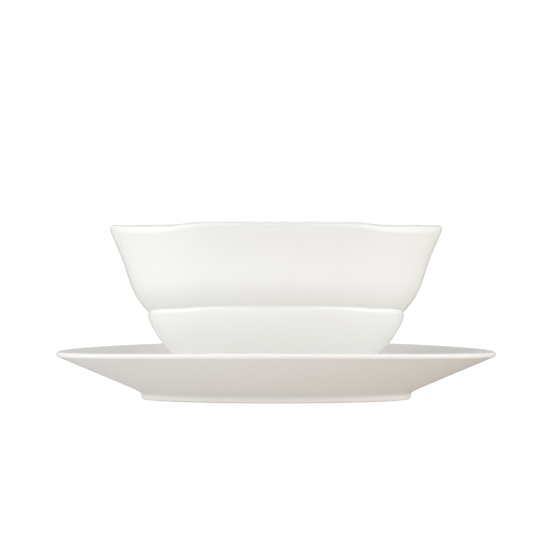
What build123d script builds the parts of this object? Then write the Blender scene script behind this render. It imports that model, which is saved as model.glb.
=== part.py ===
from build123d import *
import os
from math import atan2, cos, degrees, exp, hypot, pi, radians, sin, tanh

# A gravy boat without a handle, with a pouring lip at each end, standing on
# its own oval underplate. Both are glazed porcelain, cast in one piece each.
# +X runs along the boat, +Z is up, and the origin is on the table under the
# middle of the underplate. All sizes are millimetres.

# Underplate
plate_length = 220.0
plate_width = 150.0
plate_end_height = 23.8
plate_side_lift = 1.9
plate_thickness = 2.8
plate_foot_length = 134.6
plate_foot_width = 86.0
plate_foot_height = 3.4
plate_foot_land = 5.0
plate_recess = 3.0
well_height = 8.4
well_softness = 3.0

# Seat of the boat in the underplate's well
seat_depth = 1.2
seat_clearance = 0.8

# Boat, with its heights counted from the table
boat_length = 165.6
boat_width = 110.0
boat_end_height = 86.8
boat_side_lift = 1.5
boat_wall = 2.6
boat_floor_thickness = 4.0
lip_pinch = 0.5

# Waist: the crease that runs round the boat, higher along its sides
waist_length = 128.6
waist_width = 88.4
waist_end_height = 43.2
waist_side_lift = 2.2
waist_corner_lift = 2.2
crease_depth = 0.5
crease_reach = 0.035

# Wall between the waist and the rim: a full shoulder low down, upright at the rim
shoulder_length_bulge = 4.2
shoulder_width_bulge = 5.2
shoulder_start = 1.5
shoulder_end = 4.0
rim_band = 0.05

# Foot ring of the boat
boat_foot_length = 79.0
boat_foot_width = 50.0
boat_foot_height = 3.0
boat_foot_land = 4.0
boat_recess = 1.8
belly_power = 1.55
floor_softness = 5.0

# Where the raised parts of the long sides end, and how gently they fall to the lips
rim_panel = 47.0
rim_panel_softness = 5.0
waist_panel = 42.0
waist_panel_softness = 12.0
waist_corner_power = 24

foot_edge_radius = 0.8
ring_points = 48
shoulder_place = shoulder_start / (shoulder_start + shoulder_end)
shoulder_peak = shoulder_place ** shoulder_start * (1 - shoulder_place) ** shoulder_end
seat_height = well_height - seat_depth
boat_foot_top = seat_height + boat_foot_height


def mix(start, end, share):
    return start + (end - start) * share


def oval(length, width, inset, height, pinch=0.0):
    """Closed curve round the piece, moved inwards by the inset.

    height is a number for a flat curve, or a function of x and of the turn.
    """
    points = []
    for step in range(ring_points):
        turn = 2 * pi * step / ring_points
        taper = 1 - pinch * cos(turn) ** 4
        x = length / 2 * cos(turn)
        y = width / 2 * sin(turn) * taper
        along_x = -length / 2 * sin(turn)
        along_y = width / 2 * (cos(turn) * taper + 4 * pinch * cos(turn) ** 3 * sin(turn) ** 2)
        reach = hypot(along_x, along_y)
        x -= inset * along_y / reach
        y += inset * along_x / reach
        z = height(x, turn) if callable(height) else height
        points.append(Vector(x, y, z))
    evenly = [step / ring_points for step in range(ring_points + 1)]
    return Wire([Edge.make_spline(points, periodic=True, parameters=evenly)])


def arc_rings(ring, radius, start, end, count):
    """Rings on an arc: the ring function takes an inset and a rise."""
    rings = []
    for step in range(count):
        angle = radians(mix(start, end, step / (count - 1)))
        rings.append(ring(radius * (1 - cos(angle)), radius * sin(angle)))
    return rings


def skin(rings):
    return Shell.make_loft(rings).faces()


def closed_solid(skins, bottom, top):
    faces = [face for group in skins for face in group]
    return Solid(Shell(faces + [Face(bottom), Face(top)]))


def oval_block(length, width, low, high):
    outline = Face(oval(length, width, 0.0, low))
    return extrude(outline, amount=high - low, dir=(0, 0, 1))


def soft_maximum(flat, slope, softness):
    """The larger of two heights, rounded where they cross."""
    gap = abs(slope - flat)
    rounding = (softness - gap) ** 2 / (4 * softness) if gap < softness else 0.0
    return max(slope, flat) + rounding


lip_radius = plate_thickness / 2
under_rise = plate_end_height - plate_thickness - plate_foot_height
under_slope = degrees(atan2(under_rise, (plate_length - plate_foot_length) / 2))
lip_start = under_slope - 90.0
lip_end = lip_start + 180.0
lip_under = lip_radius * (1 - cos(radians(lip_start)))
lip_over = lip_radius * (1 - cos(radians(lip_end)))


def lip_centre(turn):
    return plate_end_height - lip_radius + plate_side_lift * sin(turn) ** 2


def plate_ring(share, inset, height):
    length = mix(plate_foot_length, plate_length, share)
    width = mix(plate_foot_width, plate_width, share)
    return oval(length, width, inset, height)


def plate_under(share):
    def height(x, turn):
        edge = lip_centre(turn) + lip_radius * sin(radians(lip_start))
        return mix(plate_foot_height, edge, share)
    return plate_ring(share, lip_under * share, height)


def plate_over(share):
    def height(x, turn):
        edge = lip_centre(turn) + lip_radius * sin(radians(lip_end))
        fall = lip_centre(turn) + lip_radius * sin(radians(lip_start)) - plate_foot_height
        return soft_maximum(well_height, edge - (1 - share) * fall, well_softness)
    return plate_ring(share, lip_over, height)


def make_saucer():
    foot = arc_rings(lambda inset, rise: plate_ring(0.0, inset, foot_edge_radius + rise),
                     foot_edge_radius, -90.0, 0.0, 4)
    under = [plate_under(share) for share in (0.0, 0.35, 0.7, 1.0)]
    lip = arc_rings(lambda inset, rise: plate_ring(1.0, inset, lambda x, turn: lip_centre(turn) + rise),
                    lip_radius, lip_start, lip_end, 7)
    lip[0] = under[-1]
    over = [lip[-1]] + [plate_over(share) for share in (0.8, 0.6, 0.4, 0.28, 0.18, 0.08, 0.0)]
    over.append(plate_ring(-0.14, lip_over, well_height))
    blank = closed_solid([skin(foot), skin([foot[-1], under[0]]), skin(under), skin(lip), skin(over)],
                         foot[0], over[-1])
    recess = oval_block(plate_foot_length - 2 * plate_foot_land, plate_foot_width - 2 * plate_foot_land,
                        -1.0, plate_recess)
    seat = oval_block(boat_foot_length + 2 * seat_clearance, boat_foot_width + 2 * seat_clearance,
                      seat_height, well_height + 1.0)
    return blank - recess - seat


def panel(x, edge, softness):
    """One along the middle of each side, falling to nought towards the lips."""
    return 0.5 * (1 - tanh((abs(x) - edge) / softness))


def waist_height(x, turn):
    side = waist_side_lift * panel(x, waist_panel, waist_panel_softness)
    return waist_end_height + side + waist_corner_lift * (1 - cos(turn) ** waist_corner_power)


def rim_height(x):
    return boat_end_height + boat_side_lift * panel(x, rim_panel, rim_panel_softness)


def crease(away):
    """How far the groove at the waist goes in, at a share of the wall above or below it."""
    return crease_depth * exp(-(away / crease_reach) ** 2)


def belly_ring(depth, inset, floor=None):
    """A ring of the lower part: depth 0 at the waist and 1 at the foot."""
    spread = 1 - depth ** belly_power

    def height(x, turn):
        slope = mix(waist_height(x, turn), boat_foot_top, depth)
        return slope if floor is None else soft_maximum(floor, slope, floor_softness)
    return oval(mix(boat_foot_length, waist_length, spread), mix(boat_foot_width, waist_width, spread),
                inset, height)


def flare_ring(climb, inset, rise=0.0, drop=0.0):
    """A ring of the upper part: climb 0 at the waist and 1 at the rim."""
    reach = 1 - soft_maximum(0.0, 1 - climb / (1 - rim_band), rim_band)
    bulge = max(reach, 0.0) ** shoulder_start * (1 - reach) ** shoulder_end / shoulder_peak

    def height(x, turn):
        return mix(waist_height(x, turn), rim_height(x) - drop, climb) + rise
    return oval(mix(waist_length, boat_length, reach) + shoulder_length_bulge * bulge,
                mix(waist_width, boat_width, reach) + shoulder_width_bulge * bulge,
                inset, height, lip_pinch * climb ** 2)


def make_sauce_boat():
    rim_radius = boat_wall / 2
    floor = seat_height + boat_recess + boat_floor_thickness
    foot = arc_rings(lambda inset, rise: oval(boat_foot_length, boat_foot_width, inset,
                                              seat_height + foot_edge_radius + rise),
                     foot_edge_radius, -90.0, 0.0, 4)
    belly = [belly_ring(depth, crease(depth)) for depth in (1.0, 0.85, 0.7, 0.55, 0.4, 0.25, 0.1)]
    under_crease = [belly[-1]] + [belly_ring(depth, crease(depth)) for depth in (0.067, 0.033, 0.0)]
    over_crease = [under_crease[-1]] + [flare_ring(climb, crease(climb), drop=rim_radius)
                                        for climb in (0.033, 0.067, 0.1)]
    flare = [over_crease[-1]] + [flare_ring(climb, 0.0, drop=rim_radius)
                                 for climb in (0.2, 0.3, 0.4, 0.5, 0.6, 0.7, 0.8, 0.9, 1.0)]
    rim = arc_rings(lambda inset, rise: flare_ring(1.0, inset, rise, rim_radius), rim_radius, 0.0, 180.0, 7)
    rim[0] = flare[-1]
    inside = [rim[-1]] + [flare_ring(climb, boat_wall, drop=rim_radius)
                          for climb in (0.85, 0.7, 0.55, 0.4, 0.27, 0.13)]
    inside += [belly_ring(depth, boat_wall, floor) for depth in (0.0, 0.2, 0.4, 0.6, 0.75, 0.85, 0.95, 1.03)]
    inside.append(belly_ring(1.15, boat_wall, floor))
    blank = closed_solid([skin(foot), skin([foot[-1], belly[0]]), skin(belly), skin(under_crease),
                          skin(over_crease), skin(flare), skin(rim), skin(inside)], foot[0], inside[-1])
    recess = oval_block(boat_foot_length - 2 * boat_foot_land, boat_foot_width - 2 * boat_foot_land,
                        seat_height - 1.0, seat_height + boat_recess)
    return blank - recess


os.makedirs("parts", exist_ok=True)
export_step(make_saucer(), "parts/saucer.step")
export_step(make_sauce_boat(), "parts/sauce_boat.step")
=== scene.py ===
import math
import bpy
import numpy as np
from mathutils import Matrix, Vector


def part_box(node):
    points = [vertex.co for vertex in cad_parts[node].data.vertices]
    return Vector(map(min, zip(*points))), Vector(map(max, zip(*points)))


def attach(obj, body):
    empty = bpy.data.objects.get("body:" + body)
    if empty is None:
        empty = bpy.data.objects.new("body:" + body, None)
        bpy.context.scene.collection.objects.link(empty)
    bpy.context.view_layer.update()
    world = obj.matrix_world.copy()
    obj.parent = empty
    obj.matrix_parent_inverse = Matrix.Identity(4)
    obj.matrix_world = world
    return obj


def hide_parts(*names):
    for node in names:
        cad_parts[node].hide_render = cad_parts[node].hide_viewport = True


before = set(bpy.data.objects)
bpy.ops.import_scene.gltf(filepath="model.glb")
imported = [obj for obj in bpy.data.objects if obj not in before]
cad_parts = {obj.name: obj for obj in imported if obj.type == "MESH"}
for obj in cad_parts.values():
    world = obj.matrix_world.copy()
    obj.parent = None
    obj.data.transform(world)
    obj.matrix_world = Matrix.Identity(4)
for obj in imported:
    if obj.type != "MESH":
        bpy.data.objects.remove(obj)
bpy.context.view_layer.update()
boatLow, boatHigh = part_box("sauce_boat")
saucerLow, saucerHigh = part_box("saucer")
print("frame loaded")

cameraView = {
    "distance": 1.77,        # metres from the middle of the boat
    "eyeHeight": 0.099,
    "aimHeight": 0.0619,
    "side": -0.0005,
    "lens": 231.7,           # millimetres, as is the sensor
    "sensor": 36,
    "nearest": 0.05, "farthest": 40,
}


def addCamera(view):
    data = bpy.data.cameras.new("studioCamera")
    data.lens = view["lens"]
    data.sensor_width = view["sensor"]
    data.clip_start = view["nearest"]
    data.clip_end = view["farthest"]
    camera = bpy.data.objects.new("studioCamera", data)
    bpy.context.scene.collection.objects.link(camera)
    camera.location = (view["side"], -view["distance"], view["eyeHeight"])
    aim = Vector((view["side"], 0, view["aimHeight"]))
    camera.rotation_euler = (aim - camera.location).to_track_quat("-Z", "Y").to_euler()
    bpy.context.scene.camera = camera


addCamera(cameraView)
print("camera placed")


class Signal:
    # a socket that takes part in sums, so that 1 - mask adds its own Math node
    def __init__(self, board, socket):
        self.board = board
        self.socket = socket

    def __add__(self, other):
        return self.board.maths("ADD", self, other)

    def __radd__(self, other):
        return self.board.maths("ADD", other, self)

    def __sub__(self, other):
        return self.board.maths("SUBTRACT", self, other)

    def __rsub__(self, other):
        return self.board.maths("SUBTRACT", other, self)

    def __mul__(self, other):
        return self.board.maths("MULTIPLY", self, other)

    def __rmul__(self, other):
        return self.board.maths("MULTIPLY", other, self)


class NodeBoard:
    # adds nodes to one tree and joins them up
    def __init__(self, tree):
        self.tree = tree
        tree.nodes.clear()

    def add(self, kind, settings=None, inputs=None):
        node = self.tree.nodes.new(kind)
        for name, value in (settings or {}).items():
            if name == "stops":
                self.setStops(node.color_ramp, value)
            else:
                setattr(node, name, value)
        for name, value in (inputs or {}).items():
            socket = node.inputs[name]
            if isinstance(value, Signal):
                self.tree.links.new(value.socket, socket)
            else:
                socket.default_value = value
        return node

    def out(self, node, name=0):
        return Signal(self, node.outputs[name])

    def maths(self, operation, first, second):
        return self.out(self.add("ShaderNodeMath", {"operation": operation}, {0: first, 1: second}))

    def setStops(self, ramp, stops):
        while len(ramp.elements) < len(stops):
            ramp.elements.new(0.5)
        for element, (position, value) in zip(ramp.elements, stops):
            element.position = position
            element.color = (value, value, value, 1)

    def ramp(self, value, stops):
        return self.out(self.add("ShaderNodeValToRGB", {"stops": stops}, {0: value}))

    def noise(self, place, scale, detail, roughness=0.5):
        inputs = {"Vector": place, "Scale": scale, "Detail": detail, "Roughness": roughness}
        return self.out(self.add("ShaderNodeTexNoise", {"noise_dimensions": "3D"}, inputs), "Fac")

    def colours(self, share, first, second):
        settings = {"data_type": "RGBA", "clamp_factor": True}
        return self.out(self.add("ShaderNodeMix", settings, {0: share, 6: first, 7: second}), 2)

    def attribute(self, name):
        return self.out(self.add("ShaderNodeAttribute", {"attribute_name": name}), "Fac")


rowNames = ("length", "width", "pinch", "inset", "base", "waist", "rim", "side", "floor")
noFloor = -1.0


def mix(start, end, share):
    return start + (end - start) * share


def rings(**values):
    # rows of a profile, as many as the longest value has; what isn't named is nought
    values.setdefault("floor", noFloor)
    columns = [np.atleast_1d(np.asarray(values.get(name, 0.0), float)) for name in rowNames]
    return np.stack(np.broadcast_arrays(*columns), axis=1)


def shares(count, start=0.0, end=1.0, closed=True):
    return np.linspace(start, end, count, endpoint=closed)


def arcShares(count, start, end):
    # inset and rise of an arc as parts of its radius, from one angle to another in degrees
    angle = np.radians(np.linspace(start, end, count))
    return 1 - np.cos(angle), np.sin(angle)


def softenRings(profile, first, last, passes):
    # each ring between the two moves to the mean of itself and its neighbours
    for _ in range(passes):
        middle = profile[first:last]
        around = profile[first - 1:last - 1] + profile[first + 1:last + 1]
        profile[first:last] = 0.5 * middle + 0.25 * around
    return profile


def joinParts(parts):
    # one profile out of its named parts, and the row at which each of them starts
    counts = np.array([len(part) for part in parts.values()])
    starts = dict(zip(parts, np.cumsum(counts) - counts))
    return np.concatenate(list(parts.values())), starts


def glazeMasks(mesh, starts, profile, piece, shadeGathers, edge):
    # bare on the foot's land; gathered glaze with painted shade as exp(-(rings away / reach)^2) at each
    # crease or corner where the glaze gathers; and the painted light along the rim as it is given
    order = np.arange(len(profile))
    margin = piece["bareMargin"]
    bare = (order >= starts["landInside"] + margin) & (order < starts["footWall"] - margin)
    # the pool mask also carries painted shade into each crease and corner
    pool = sum(np.exp(-((order - starts[name]) / reach) ** 2) for name, reach in shadeGathers.items())
    for name, mask in (("bare", bare), ("pool", pool.clip(0, 1)), ("edge", edge)):
        addMask(mesh, name, mask.astype(float), piece["turns"])


def softMaximum(flat, slope, softness):
    # the larger of the two, plus (softness - gap) squared over 4 softness where they cross
    gap = np.abs(slope - flat)
    rounding = np.where(gap < softness, (softness - gap) ** 2 / (4 * softness), 0.0)
    return np.maximum(slope, flat) + rounding


def sidePanel(x, edge, softness):
    # one along the middle of each long side, and nought at the lips
    return 0.5 * (1 - np.tanh((np.abs(x) - edge) / softness))


def ovalSurface(profile, turns, shape):
    # x is half the length times cos(turn), y is half the width times sin(turn) and a taper of
    # 1 - pinch cos(turn)^4, and each ring then moves inwards by its inset along its own normal.
    # z is the ring's base, lifted along the sides by the panels of the waist and the rim, away
    # from the ends by a corner lift of 1 - cos(turn) to an even power, and by sin(turn)^2.
    row = dict(zip(rowNames, profile[:, :, None].transpose(1, 0, 2)))
    cosine, sine = np.cos(turns)[None, :], np.sin(turns)[None, :]
    taper = 1 - row["pinch"] * cosine ** 4
    x = row["length"] / 2 * cosine
    y = row["width"] / 2 * sine * taper
    alongX = -row["length"] / 2 * sine
    alongY = row["width"] / 2 * (cosine * taper + 4 * row["pinch"] * cosine ** 3 * sine ** 2)
    reach = np.maximum(np.hypot(alongX, alongY), 1e-9)
    x = x - row["inset"] * alongY / reach
    y = y + row["inset"] * alongX / reach
    z = row["base"] + row["side"] * shape["sideLift"] * sine ** 2
    waist = shape["waistLift"] * sidePanel(x, shape["waistPanel"], shape["waistSoftness"])
    corner = shape["cornerLift"] * (1 - cosine ** shape["cornerPower"])
    z = z + row["waist"] * (waist + corner)
    z = z + row["rim"] * shape["rimLift"] * sidePanel(x, shape["rimPanel"], shape["rimSoftness"])
    z = np.where(row["floor"] > noFloor, softMaximum(row["floor"], z, shape["floorSoftness"]), z)
    return np.stack([x, y, z], axis=2)


def closedMesh(name, grid):
    # a grid of rings from the middle of the underside round to the middle of the inside,
    # closed at both ends by a fan to one point
    ringCount, turnCount = grid.shape[:2]
    poles = np.array([grid[0].mean(axis=0), grid[-1].mean(axis=0)])
    points = np.concatenate([grid.reshape(-1, 3), poles])
    ring = np.arange(ringCount - 1)[:, None] * turnCount
    here = np.arange(turnCount)[None, :]
    after = (here + 1) % turnCount
    quads = np.stack([ring + here, ring + after, ring + turnCount + after, ring + turnCount + here], axis=2)
    here, after = here[0], after[0]
    bottom = np.stack([np.full(turnCount, len(points) - 2), after, here], axis=1)
    top = (ringCount - 1) * turnCount
    lid = np.stack([np.full(turnCount, len(points) - 1), top + here, top + after], axis=1)
    corners = np.concatenate([quads.reshape(-1), bottom.reshape(-1), lid.reshape(-1)]).astype(np.int32)
    sizes = np.concatenate([np.full((ringCount - 1) * turnCount, 4), np.full(2 * turnCount, 3)])
    mesh = bpy.data.meshes.new(name)
    mesh.vertices.add(len(points))
    mesh.vertices.foreach_set("co", points.astype(np.float32).ravel())
    mesh.loops.add(len(corners))
    mesh.loops.foreach_set("vertex_index", corners)
    mesh.polygons.add(len(sizes))
    mesh.polygons.foreach_set("loop_start", (np.cumsum(sizes) - sizes).astype(np.int32))
    mesh.polygons.foreach_set("use_smooth", np.ones(len(sizes), bool))
    mesh.update(calc_edges=True)
    mesh.validate()
    return mesh


def addMask(mesh, name, byRing, turnCount):
    # one number for each ring, spread over the ring's points, with the two poles last
    values = np.concatenate([np.repeat(byRing, turnCount), [byRing[0], byRing[-1]]])
    layer = mesh.attributes.new(name, "FLOAT", "POINT")
    layer.data.foreach_set("value", values.astype(np.float32))


def addPiece(mesh, node, body, material):
    piece = bpy.data.objects.new(mesh.name, mesh)
    bpy.context.scene.collection.objects.link(piece)
    mesh.materials.append(material)
    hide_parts(node)
    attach(piece, body)
    return piece


# what both glazes have in common; each piece's own dictionary adds its colours and scales
porcelain = {
    "cloudDetail": 2.0, "thickFrom": 0.35, "thickFull": 0.68,
    "rippleDetail": 3.0, "rippleGrit": 0.55,
    "grainScale": 2400.0, "grainDetail": 4.0, "grainGrit": 0.6,
    "speck": (0.5, 0.47, 0.42, 1), "speckStrength": 0.05, "speckScale": 900.0, "speckDetail": 1.0,
    "speckFrom": 0.74, "speckFull": 0.8,
    "poolShadeUneven": 0.45, "bisqueUneven": 0.2,
    "bisqueRoughness": 0.62, "bisqueBump": 1.5,
    "roughnessSpread": 0.05,
    "bump": 0.08, "bumpDepth": 0.0006, "ior": 1.5,
}


def makeGlaze(name, glaze):
    glaze = {**porcelain, **glaze}
    material = bpy.data.materials.new(name)
    material.use_nodes = True
    board = NodeBoard(material.node_tree)
    place = board.out(board.add("ShaderNodeTexCoord"), "Object")
    pool = board.attribute("pool")
    bare = board.attribute("bare")
    edge = board.attribute("edge")
    cloud = board.noise(place, glaze["cloudScale"], glaze["cloudDetail"])
    ripple = board.noise(place, glaze["rippleScale"], glaze["rippleDetail"], glaze["rippleGrit"])
    grain = board.noise(place, glaze["grainScale"], glaze["grainDetail"], glaze["grainGrit"])
    speckNoise = board.noise(place, glaze["speckScale"], glaze["speckDetail"])
    speck = board.ramp(speckNoise, [(0.0, 0.0), (glaze["speckFrom"], 0.0), (glaze["speckFull"], 1.0)])
    depth = board.ramp(cloud, [(0.0, 0.0), (glaze["thickFrom"], 0.0), (glaze["thickFull"], 1.0)])
    colour = board.colours(depth, glaze["thin"], glaze["thick"])
    # pooled glaze in creases and corners, darker than the glaze: painted shade with the cool tint of
    # gathered glaze
    uneven = glaze["poolShadeUneven"]
    colour = board.colours(pool * ((1 - uneven) + uneven * cloud), colour, glaze["pooledShade"])
    # painted light along the rim: a painted highlight on the saucer's lip, painted shade under the boat's
    # rim
    colour = board.colours(edge * glaze["rimPaintedLightStrength"], colour, glaze["edge"])
    colour = board.colours(speck * glaze["speckStrength"], colour, glaze["speck"])
    uneven = glaze["bisqueUneven"]
    colour = board.colours(bare * ((1 - uneven) + uneven * grain), colour, glaze["bisque"])
    roughness = glaze["roughness"] + glaze["roughnessSpread"] * cloud
    roughness = roughness + bare * (glaze["bisqueRoughness"] - glaze["roughness"])
    height = ripple * (1 - bare) + grain * bare * glaze["bisqueBump"]
    bump = board.add("ShaderNodeBump", None, {"Strength": glaze["bump"], "Distance": glaze["bumpDepth"],
                                              "Height": height})
    shader = board.add("ShaderNodeBsdfPrincipled", None, {
        "Base Color": colour,
        "Roughness": roughness,
        "IOR": glaze["ior"],
        "Normal": board.out(bump),
    })
    board.add("ShaderNodeOutputMaterial", None, {"Surface": board.out(shader)})
    return material


saucer = {
    "length": saucerHigh.x - saucerLow.x,
    "width": saucerHigh.y - saucerLow.y,
    "endHeight": 0.0238,
    "sideLift": 0.0019,
    "thickness": 0.0028,
    "footLength": 0.1346,
    "footWidth": 0.086,
    "footHeight": 0.0034,
    "footLand": 0.005,
    "recess": 0.003,
    "edgeRadius": 0.0008,
    "wellHeight": 0.0084,
    "floorSoftness": 0.003,
    "seatLength": 0.0806,
    "seatWidth": 0.0516,
    "seatDepth": 0.0012,
    "waistLift": 0.0, "waistPanel": 0.045, "waistSoftness": 0.012, "cornerLift": 0.0, "cornerPower": 2,
    "rimLift": 0.0, "rimPanel": 0.05, "rimSoftness": 0.005,
    "turns": 320,            # points round each ring
    "hair": 0.0002,          # how near the rings come to a sharp turn
    "ceilingBorder": 0.0014,
    "ceilingSteps": (14, 0.06, 0.95), "seatSteps": (16, 0.985, 0.05),    # rings, from one share to another
    "wellSteps": (0.15, 0.32, 0.5, 0.68, 0.84, 0.95, 0.99),
    "landRings": 4, "recessRings": 5, "cornerRings": 6, "footRings": 6,
    "underRings": 46, "lipRings": 18, "overRings": 52,
    "wellEnd": -0.14,        # how far inside the foot the sloping wall's rings go on
    "footSpan": 5, "footPasses": 10,    # rings and passes that soften the turn above the foot
    "poolShadeReach": 3.0,        # in rings, as the glaze gathers with painted shade above the foot and at the seat
    "bareMargin": 2,         # rings of the land's corners that the glaze still covers
}

saucerGlaze = {
    # the saucer's white is warmer and a little darker than the boat's: partly the porcelain's own tone and
    # partly painted warm bounce light from below
    "thin": (0.89, 0.875, 0.853, 1), "thick": (0.88, 0.865, 0.843, 1),
    # the edge colour is lighter than the glaze: a painted highlight on the lip
    # the pooled colour is darker than the glaze: painted shade above the foot and at the seat, with the
    # cool tint of gathered glaze
    "pooledShade": (0.78, 0.79, 0.765, 1), "edge": (0.9, 0.89, 0.87, 1), "rimPaintedLightStrength": 0.6,
    "bisque": (0.74, 0.7, 0.64, 1),
    "cloudScale": 22.0, "rippleScale": 130.0,
    "roughness": 0.13,
}


def saucerProfile(dish):
    radius = dish["thickness"] / 2
    rise = dish["endHeight"] - dish["thickness"] - dish["footHeight"]
    slope = math.degrees(math.atan2(rise, (dish["length"] - dish["footLength"]) / 2))
    lipStart, lipEnd = slope - 90, slope + 90
    centre = dish["endHeight"] - radius
    underInset = radius * (1 - math.cos(math.radians(lipStart)))
    overInset = radius * (1 - math.cos(math.radians(lipEnd)))
    underEdge = centre + radius * math.sin(math.radians(lipStart))
    overEdge = centre + radius * math.sin(math.radians(lipEnd))
    fall = underEdge - dish["footHeight"]
    corner, hair = dish["edgeRadius"], dish["hair"]

    def outline(share):
        return {"length": mix(dish["footLength"], dish["length"], share),
                "width": mix(dish["footWidth"], dish["width"], share)}
    inner = {"length": dish["footLength"] - 2 * dish["footLand"],
             "width": dish["footWidth"] - 2 * dish["footLand"]}
    middleOut = shares(*dish["ceilingSteps"])
    ceiling = rings(length=inner["length"] * middleOut, width=inner["width"] * middleOut,
                    base=dish["recess"])
    recessTop = rings(inset=shares(dish["landRings"], dish["ceilingBorder"], hair), base=dish["recess"],
                      **inner)
    recessWall = rings(base=shares(dish["recessRings"], dish["recess"] - hair, corner + hair / 2), **inner)
    inset, lift = arcShares(dish["cornerRings"], 180, 270)
    landInside = rings(inset=-corner * inset, base=corner + corner * lift, **inner)
    inset = shares(dish["landRings"], dish["footLand"] - corner - 2 * hair, corner + 2 * hair)
    land = rings(inset=inset, **outline(0))
    inset, lift = arcShares(dish["cornerRings"], -90, 0)
    landOutside = rings(inset=corner * inset, base=corner + corner * lift, **outline(0))
    footWall = rings(base=shares(dish["footRings"], corner + hair, dish["footHeight"] - hair / 2),
                     **outline(0))
    outward = shares(dish["underRings"])
    under = rings(inset=underInset * outward, base=mix(dish["footHeight"], underEdge, outward),
                  side=outward, **outline(outward))
    inset, lift = arcShares(dish["lipRings"], lipStart, lipEnd)
    lip = rings(inset=radius * inset, base=centre + radius * lift, side=1.0, **outline(1))
    inward = shares(dish["overRings"], 1.0, dish["wellEnd"])
    over = rings(inset=overInset, base=overEdge - (1 - inward) * fall, side=inward.clip(0, 1),
                 floor=dish["wellHeight"], **outline(inward))
    seat = {"length": dish["seatLength"], "width": dish["seatWidth"]}
    last = dict(zip(rowNames, over[-1]))
    towards = np.array(dish["wellSteps"])
    well = rings(length=mix(last["length"], seat["length"], towards),
                 width=mix(last["width"], seat["width"], towards), inset=overInset * (1 - towards),
                 base=dish["wellHeight"])
    seatHeight = dish["wellHeight"] - dish["seatDepth"]
    seatWall = rings(base=shares(dish["landRings"], dish["wellHeight"] - hair, seatHeight + hair), **seat)
    middleIn = shares(*dish["seatSteps"])
    seatFloor = rings(length=seat["length"] * middleIn, width=seat["width"] * middleIn, base=seatHeight)
    parts = {"ceiling": ceiling, "recessTop": recessTop, "recessWall": recessWall, "landInside": landInside,
             "land": land, "landOutside": landOutside, "footWall": footWall, "under": under[1:],
             "lip": lip[1:], "over": over[1:], "well": well, "seatWall": seatWall, "seatFloor": seatFloor}
    profile, starts = joinParts(parts)
    span = dish["footSpan"]
    profile = softenRings(profile, starts["under"] - span, starts["under"] + span, dish["footPasses"])
    return profile, starts


def makeSaucer(dish):
    profile, starts = saucerProfile(dish)
    turns = shares(dish["turns"], 0, 2 * np.pi, closed=False)
    mesh = closedMesh("saucerPorcelain", ovalSurface(profile, turns, dish))
    order = np.arange(len(profile))
    # the lip's rings, which take the painted highlight
    edge = (order >= starts["lip"]) & (order < starts["over"])
    shadeGathers = {"under": dish["poolShadeReach"], "seatWall": dish["poolShadeReach"]}
    glazeMasks(mesh, starts, profile, dish, shadeGathers, edge)
    return addPiece(mesh, "saucer", "underplate", makeGlaze("saucerGlaze", saucerGlaze))


boat = {
    "length": boatHigh.x - boatLow.x,
    "width": boatHigh.y - boatLow.y,
    "endHeight": 0.0868,
    "rimLift": 0.0015, "rimPanel": 0.047, "rimSoftness": 0.005,
    "rimBand": 0.05,         # the upright part below the rim, as a share of the flare
    "wall": 0.0026,
    "floorThickness": 0.004,
    "floorSoftness": 0.005,
    "lipPinch": 0.5,
    "waistLength": 0.1286,
    "waistWidth": 0.0884,
    "waistEndHeight": 0.0432,
    "waistLift": 0.0022, "waistPanel": 0.042, "waistSoftness": 0.012,
    "cornerLift": 0.0022, "cornerPower": 24,
    "creaseDepth": 0.0005,
    "creaseReach": 0.035,
    "shoulderLength": 0.0042,
    "shoulderWidth": 0.0052,
    "shoulderStart": 1.5, "shoulderEnd": 4.0,
    "footLength": 0.079,
    "footWidth": 0.050,
    "footHeight": 0.003,
    "footLand": 0.004,
    "recess": 0.0018,
    "edgeRadius": 0.0008,
    "bellyPower": 1.55,
    "sideLift": 0.0,
    "turns": 360,            # points round each ring
    "hair": 0.0002,          # how near the rings come to a sharp turn
    "ceilingBorder": 0.0012,
    "ceilingSteps": (12, 0.06, 0.94), "bottomSteps": (14, 0.95, 0.05),    # rings, from one share to another
    "borderRings": 4, "landRings": 3, "recessRings": 4, "cornerRings": 6, "footRings": 5,
    "lowerRings": 44, "lowerCrowding": 1.6,    # the crowding brings rings together at the waist
    "upperRings": 56, "upperCrowding": 1.5,
    "rimRings": 16, "insideUpperRings": 40, "insideLowerRings": 36,
    "insideEnd": 1.15,       # how far inside the foot the belly's inner rings go on
    "footSpan": 3, "footPasses": 2,      # rings and passes that soften the turn above the foot
    "waistSpan": 3, "waistPasses": 1,    # the crease of the waist
    "echoSpan": 8, "echoPasses": 12,     # its softer echo inside
    "poolShadeReach": 3.0, "creasePoolShadeReach": 2.0,    # in rings, as the glaze gathers there with painted shade
    "rimShadeReach": 3.5,        # in rings, as the painted shade fades down from the rim
    "bareMargin": 2,         # rings of the land's corners that the glaze still covers
}

boatGlaze = {
    "thin": (0.9, 0.905, 0.886, 1), "thick": (0.89, 0.895, 0.876, 1),
    # the edge colour is darker than the glaze: painted shade on the rim and the upright band under it
    # the pooled colour is darker than the glaze: painted shade at the waist crease and above the foot, with
    # the cool tint of gathered glaze
    "pooledShade": (0.83, 0.845, 0.82, 1), "edge": (0.85, 0.855, 0.83, 1), "rimPaintedLightStrength": 1.0,
    "bisque": (0.76, 0.73, 0.67, 1),
    "cloudScale": 26.0, "rippleScale": 150.0,
    "roughness": 0.12,
}


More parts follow.
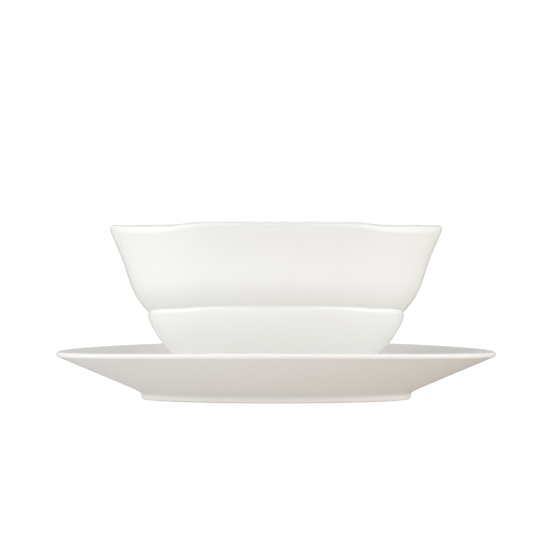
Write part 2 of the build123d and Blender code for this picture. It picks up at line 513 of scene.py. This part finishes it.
def boatProfile(bowl):
    seat = boatLow.z
    footTop = seat + bowl["footHeight"]
    corner, hair = bowl["edgeRadius"], bowl["hair"]
    rimRadius = bowl["wall"] / 2
    rimCentre = bowl["endHeight"] - rimRadius
    floor = seat + bowl["recess"] + bowl["floorThickness"]

    def crease(away):
        # the groove at the waist: its depth times exp(-(away / reach)^2)
        return bowl["creaseDepth"] * np.exp(-(away / bowl["creaseReach"]) ** 2)

    def belly(depth, inset=0.0, floorHeight=noFloor):
        # from the waist at depth 0 in to the foot at depth 1, by 1 - depth to a power
        spread = 1 - depth ** bowl["bellyPower"]
        return rings(length=mix(bowl["footLength"], bowl["waistLength"], spread),
                     width=mix(bowl["footWidth"], bowl["waistWidth"], spread), inset=inset,
                     base=mix(bowl["waistEndHeight"], footTop, depth), waist=1 - depth,
                     floor=floorHeight)

    def flare(climb, inset=0.0, rise=0.0):
        # out from the waist to the upright band of the rim, with a shoulder that goes as
        # reach^start (1 - reach)^end, where reach runs from 0 at the waist to 1 at the band
        reach = 1 - softMaximum(0.0, 1 - climb / (1 - bowl["rimBand"]), bowl["rimBand"])
        start, end = bowl["shoulderStart"], bowl["shoulderEnd"]
        peak = start / (start + end)
        bulge = reach.clip(0, 1) ** start * (1 - reach).clip(0, 1) ** end
        bulge = bulge / (peak ** start * (1 - peak) ** end)
        length = mix(bowl["waistLength"], bowl["length"], reach) + bowl["shoulderLength"] * bulge
        width = mix(bowl["waistWidth"], bowl["width"], reach) + bowl["shoulderWidth"] * bulge
        return rings(length=length, width=width,
                     pinch=bowl["lipPinch"] * climb ** 2, inset=inset,
                     base=mix(bowl["waistEndHeight"], rimCentre, climb) + rise, waist=1 - climb, rim=climb)

    foot = {"length": bowl["footLength"], "width": bowl["footWidth"]}
    inner = {"length": foot["length"] - 2 * bowl["footLand"], "width": foot["width"] - 2 * bowl["footLand"]}
    middleOut = shares(*bowl["ceilingSteps"])
    recess = seat + bowl["recess"]
    ceiling = rings(length=inner["length"] * middleOut, width=inner["width"] * middleOut, base=recess)
    recessTop = rings(inset=shares(bowl["borderRings"], bowl["ceilingBorder"], hair), base=recess, **inner)
    recessWall = rings(base=shares(bowl["recessRings"], recess - hair, seat + corner + hair / 2), **inner)
    inset, lift = arcShares(bowl["cornerRings"], 180, 270)
    landInside = rings(inset=-corner * inset, base=seat + corner + corner * lift, **inner)
    inset = shares(bowl["landRings"], bowl["footLand"] - corner - 2 * hair, corner + 2 * hair)
    land = rings(inset=inset, base=seat, **foot)
    inset, lift = arcShares(bowl["cornerRings"], -90, 0)
    landOutside = rings(inset=corner * inset, base=seat + corner + corner * lift, **foot)
    footWall = rings(base=shares(bowl["footRings"], seat + corner + hair, footTop - hair), **foot)
    depth = shares(bowl["lowerRings"], 1.0, 0.0) ** bowl["lowerCrowding"]
    climb = shares(bowl["upperRings"]) ** bowl["upperCrowding"]
    lower = belly(depth, crease(depth))
    upper = flare(climb, crease(climb))
    inset, lift = arcShares(bowl["rimRings"], 0, 180)
    rim = flare(np.ones(bowl["rimRings"]), rimRadius * inset, rimRadius * lift)
    insideUpper = flare(shares(bowl["insideUpperRings"], 1.0, 0.0), bowl["wall"])
    insideUpper[:, rowNames.index("floor")] = floor
    insideLower = belly(shares(bowl["insideLowerRings"], 0.0, bowl["insideEnd"]), bowl["wall"], floor)
    middleIn = shares(*bowl["bottomSteps"])
    bottom = np.repeat(insideLower[-1:], len(middleIn), axis=0)
    for name in ("length", "width", "inset"):
        bottom[:, rowNames.index(name)] *= middleIn
    parts = {"ceiling": ceiling, "recessTop": recessTop, "recessWall": recessWall, "landInside": landInside,
             "land": land, "landOutside": landOutside, "footWall": footWall, "lower": lower[1:],
             "upper": upper[1:], "rim": rim[1:], "insideUpper": insideUpper[1:],
             "insideLower": insideLower[1:], "bottom": bottom}
    profile, starts = joinParts(parts)
    for turn, name in (("foot", "lower"), ("waist", "upper"), ("echo", "insideLower")):
        span = bowl[turn + "Span"]
        profile = softenRings(profile, starts[name] - span, starts[name] + span, bowl[turn + "Passes"])
    return profile, starts


def makeBoat(bowl):
    profile, starts = boatProfile(bowl)
    turns = shares(bowl["turns"], 0, 2 * np.pi, closed=False)
    mesh = closedMesh("sauceBoatPorcelain", ovalSurface(profile, turns, bowl))
    order = np.arange(len(profile))
    # painted shade on the rim and the band below it, fading downwards
    below = (starts["rim"] - order).clip(0)
    edge = np.where(order < starts["insideUpper"], np.exp(-(below / bowl["rimShadeReach"]) ** 2), 0.0)
    shadeGathers = {"lower": bowl["poolShadeReach"], "upper": bowl["creasePoolShadeReach"]}
    glazeMasks(mesh, starts, profile, bowl, shadeGathers, edge)
    return addPiece(mesh, "sauce_boat", "boat", makeGlaze("boatGlaze", boatGlaze))


makeSaucer(saucer)
print("saucer made")
makeBoat(boat)
print("boat made")

studio = {
    "floorRadius": 9.0, "floorSides": 96,
    "floorWhite": 0.93, "floorShade": 0.12,    # what the camera sees, and the share that takes shade
    "bounce": {
        # middle on the floor, radius in metres, level, warmth
        "front": ((0, -0.35), 0.25, 0.8, -0.05),
        "back": ((0, 0.35), 0.25, 0.14, 0.2),
        "left": ((-0.3, -0.05), 0.22, 0.45, -0.25),
        "right": ((0.3, -0.05), 0.22, 0.16, -0.25),
        "wholeFloor": ((0, 0), 3.0, 0.22, 0.3),
    },
    "skyWhite": 1.03,
    "skyLow": 0.24,
    "sharpness": 8,
    "softboxes": {
        # degrees to the right of the camera, degrees up, strength
        "frontLeft": (-40, 12, 0.75), "frontRight": (40, 12, 1.5),
        "sideLeft": (-80, 12, 2.75), "sideRight": (80, 12, 2.75),
        "rearLeft": (-120, 12, 0.35), "rearRight": (120, 12, 0.35),
        "backLeft": (-160, 12, 0.3), "backRight": (160, 12, 0.3),
        "highLeft": (-60, 50, 0.9),
        "overhead": (0, 90, 0.15),
    },
}


def addStageMaterial(name, room):
    # the camera sees white with a trace of the object's shade, and the object itself is lit by
    # patches of bounce that fall off as exp(-(distance / radius)^2), each with its red raised and
    # its blue lowered by its warmth
    material = bpy.data.materials.new(name)
    material.use_nodes = True
    board = NodeBoard(material.node_tree)
    seen = board.out(board.add("ShaderNodeLightPath"), "Is Camera Ray")
    place = board.out(board.add("ShaderNodeTexCoord"), "Object")
    bounce = (0.0, 0.0, 0.0)
    for middle, radius, level, warmth in room["bounce"].values():
        colour = (level * (1 + warmth), level, level * (1 - warmth))
        away = board.add("ShaderNodeVectorMath", {"operation": "DISTANCE"}, {0: place, 1: middle + (0.0,)})
        away = board.out(away, "Value") * (1 / radius)
        patch = board.add("ShaderNodeVectorMath", {"operation": "SCALE"},
                          {0: colour, "Scale": board.maths("POWER", math.e, 0.0 - away * away)})
        joined = board.add("ShaderNodeVectorMath", {"operation": "ADD"}, {0: bounce, 1: board.out(patch)})
        bounce = board.out(joined)
    colour = board.colours(seen, bounce, (room["floorWhite"],) * 3 + (1,))
    glow = board.add("ShaderNodeEmission", None, {"Color": colour, "Strength": 1.0})
    shade = board.add("ShaderNodeBsdfDiffuse", None, {"Color": (room["floorShade"],) * 3 + (1,)})
    both = board.add("ShaderNodeAddShader", None, {0: board.out(glow), 1: board.out(shade)})
    board.add("ShaderNodeOutputMaterial", None, {"Surface": board.out(both)})
    return material


def addFloor(room):
    turns = shares(room["floorSides"], 0, 2 * np.pi, closed=False)
    rim = np.stack([np.cos(turns), np.sin(turns), 0 * turns], axis=1) * room["floorRadius"]
    mesh = bpy.data.meshes.new("studioFloor")
    mesh.from_pydata(rim.tolist(), [], [list(range(room["floorSides"]))])
    mesh.materials.append(addStageMaterial("studioFloor", room))
    floor = bpy.data.objects.new("studioFloor", mesh)
    bpy.context.scene.collection.objects.link(floor)


def softboxDirection(right, up):
    right, up = math.radians(right), math.radians(up)
    return (math.sin(right) * math.cos(up), -math.cos(right) * math.cos(up), math.sin(up))


def addSky(room):
    # a dim tent with a broad lobe for each softbox: its strength times the cosine of the angle
    # away from it, to the power of the sharpness
    world = bpy.data.worlds.new("studioTent")
    bpy.context.scene.world = world
    world.use_nodes = True
    board = NodeBoard(world.node_tree)
    seen = board.out(board.add("ShaderNodeLightPath"), "Is Camera Ray")
    towards = board.out(board.add("ShaderNodeTexCoord"), "Generated")
    tent = room["skyLow"]
    for right, up, strength in room["softboxes"].values():
        dot = board.add("ShaderNodeVectorMath", {"operation": "DOT_PRODUCT"},
                        {0: towards, 1: softboxDirection(right, up)})
        facing = board.maths("MAXIMUM", board.out(dot, "Value"), 0.0)
        tent = tent + strength * board.maths("POWER", facing, room["sharpness"])
    strength = tent * (1 - seen) + room["skyWhite"] * seen
    background = board.add("ShaderNodeBackground", None, {"Color": (1, 1, 1, 1), "Strength": strength})
    board.add("ShaderNodeOutputWorld", None, {"Surface": board.out(background)})


addFloor(studio)
addSky(studio)
bpy.context.scene.view_settings.view_transform = "Standard"
print("studio ready")
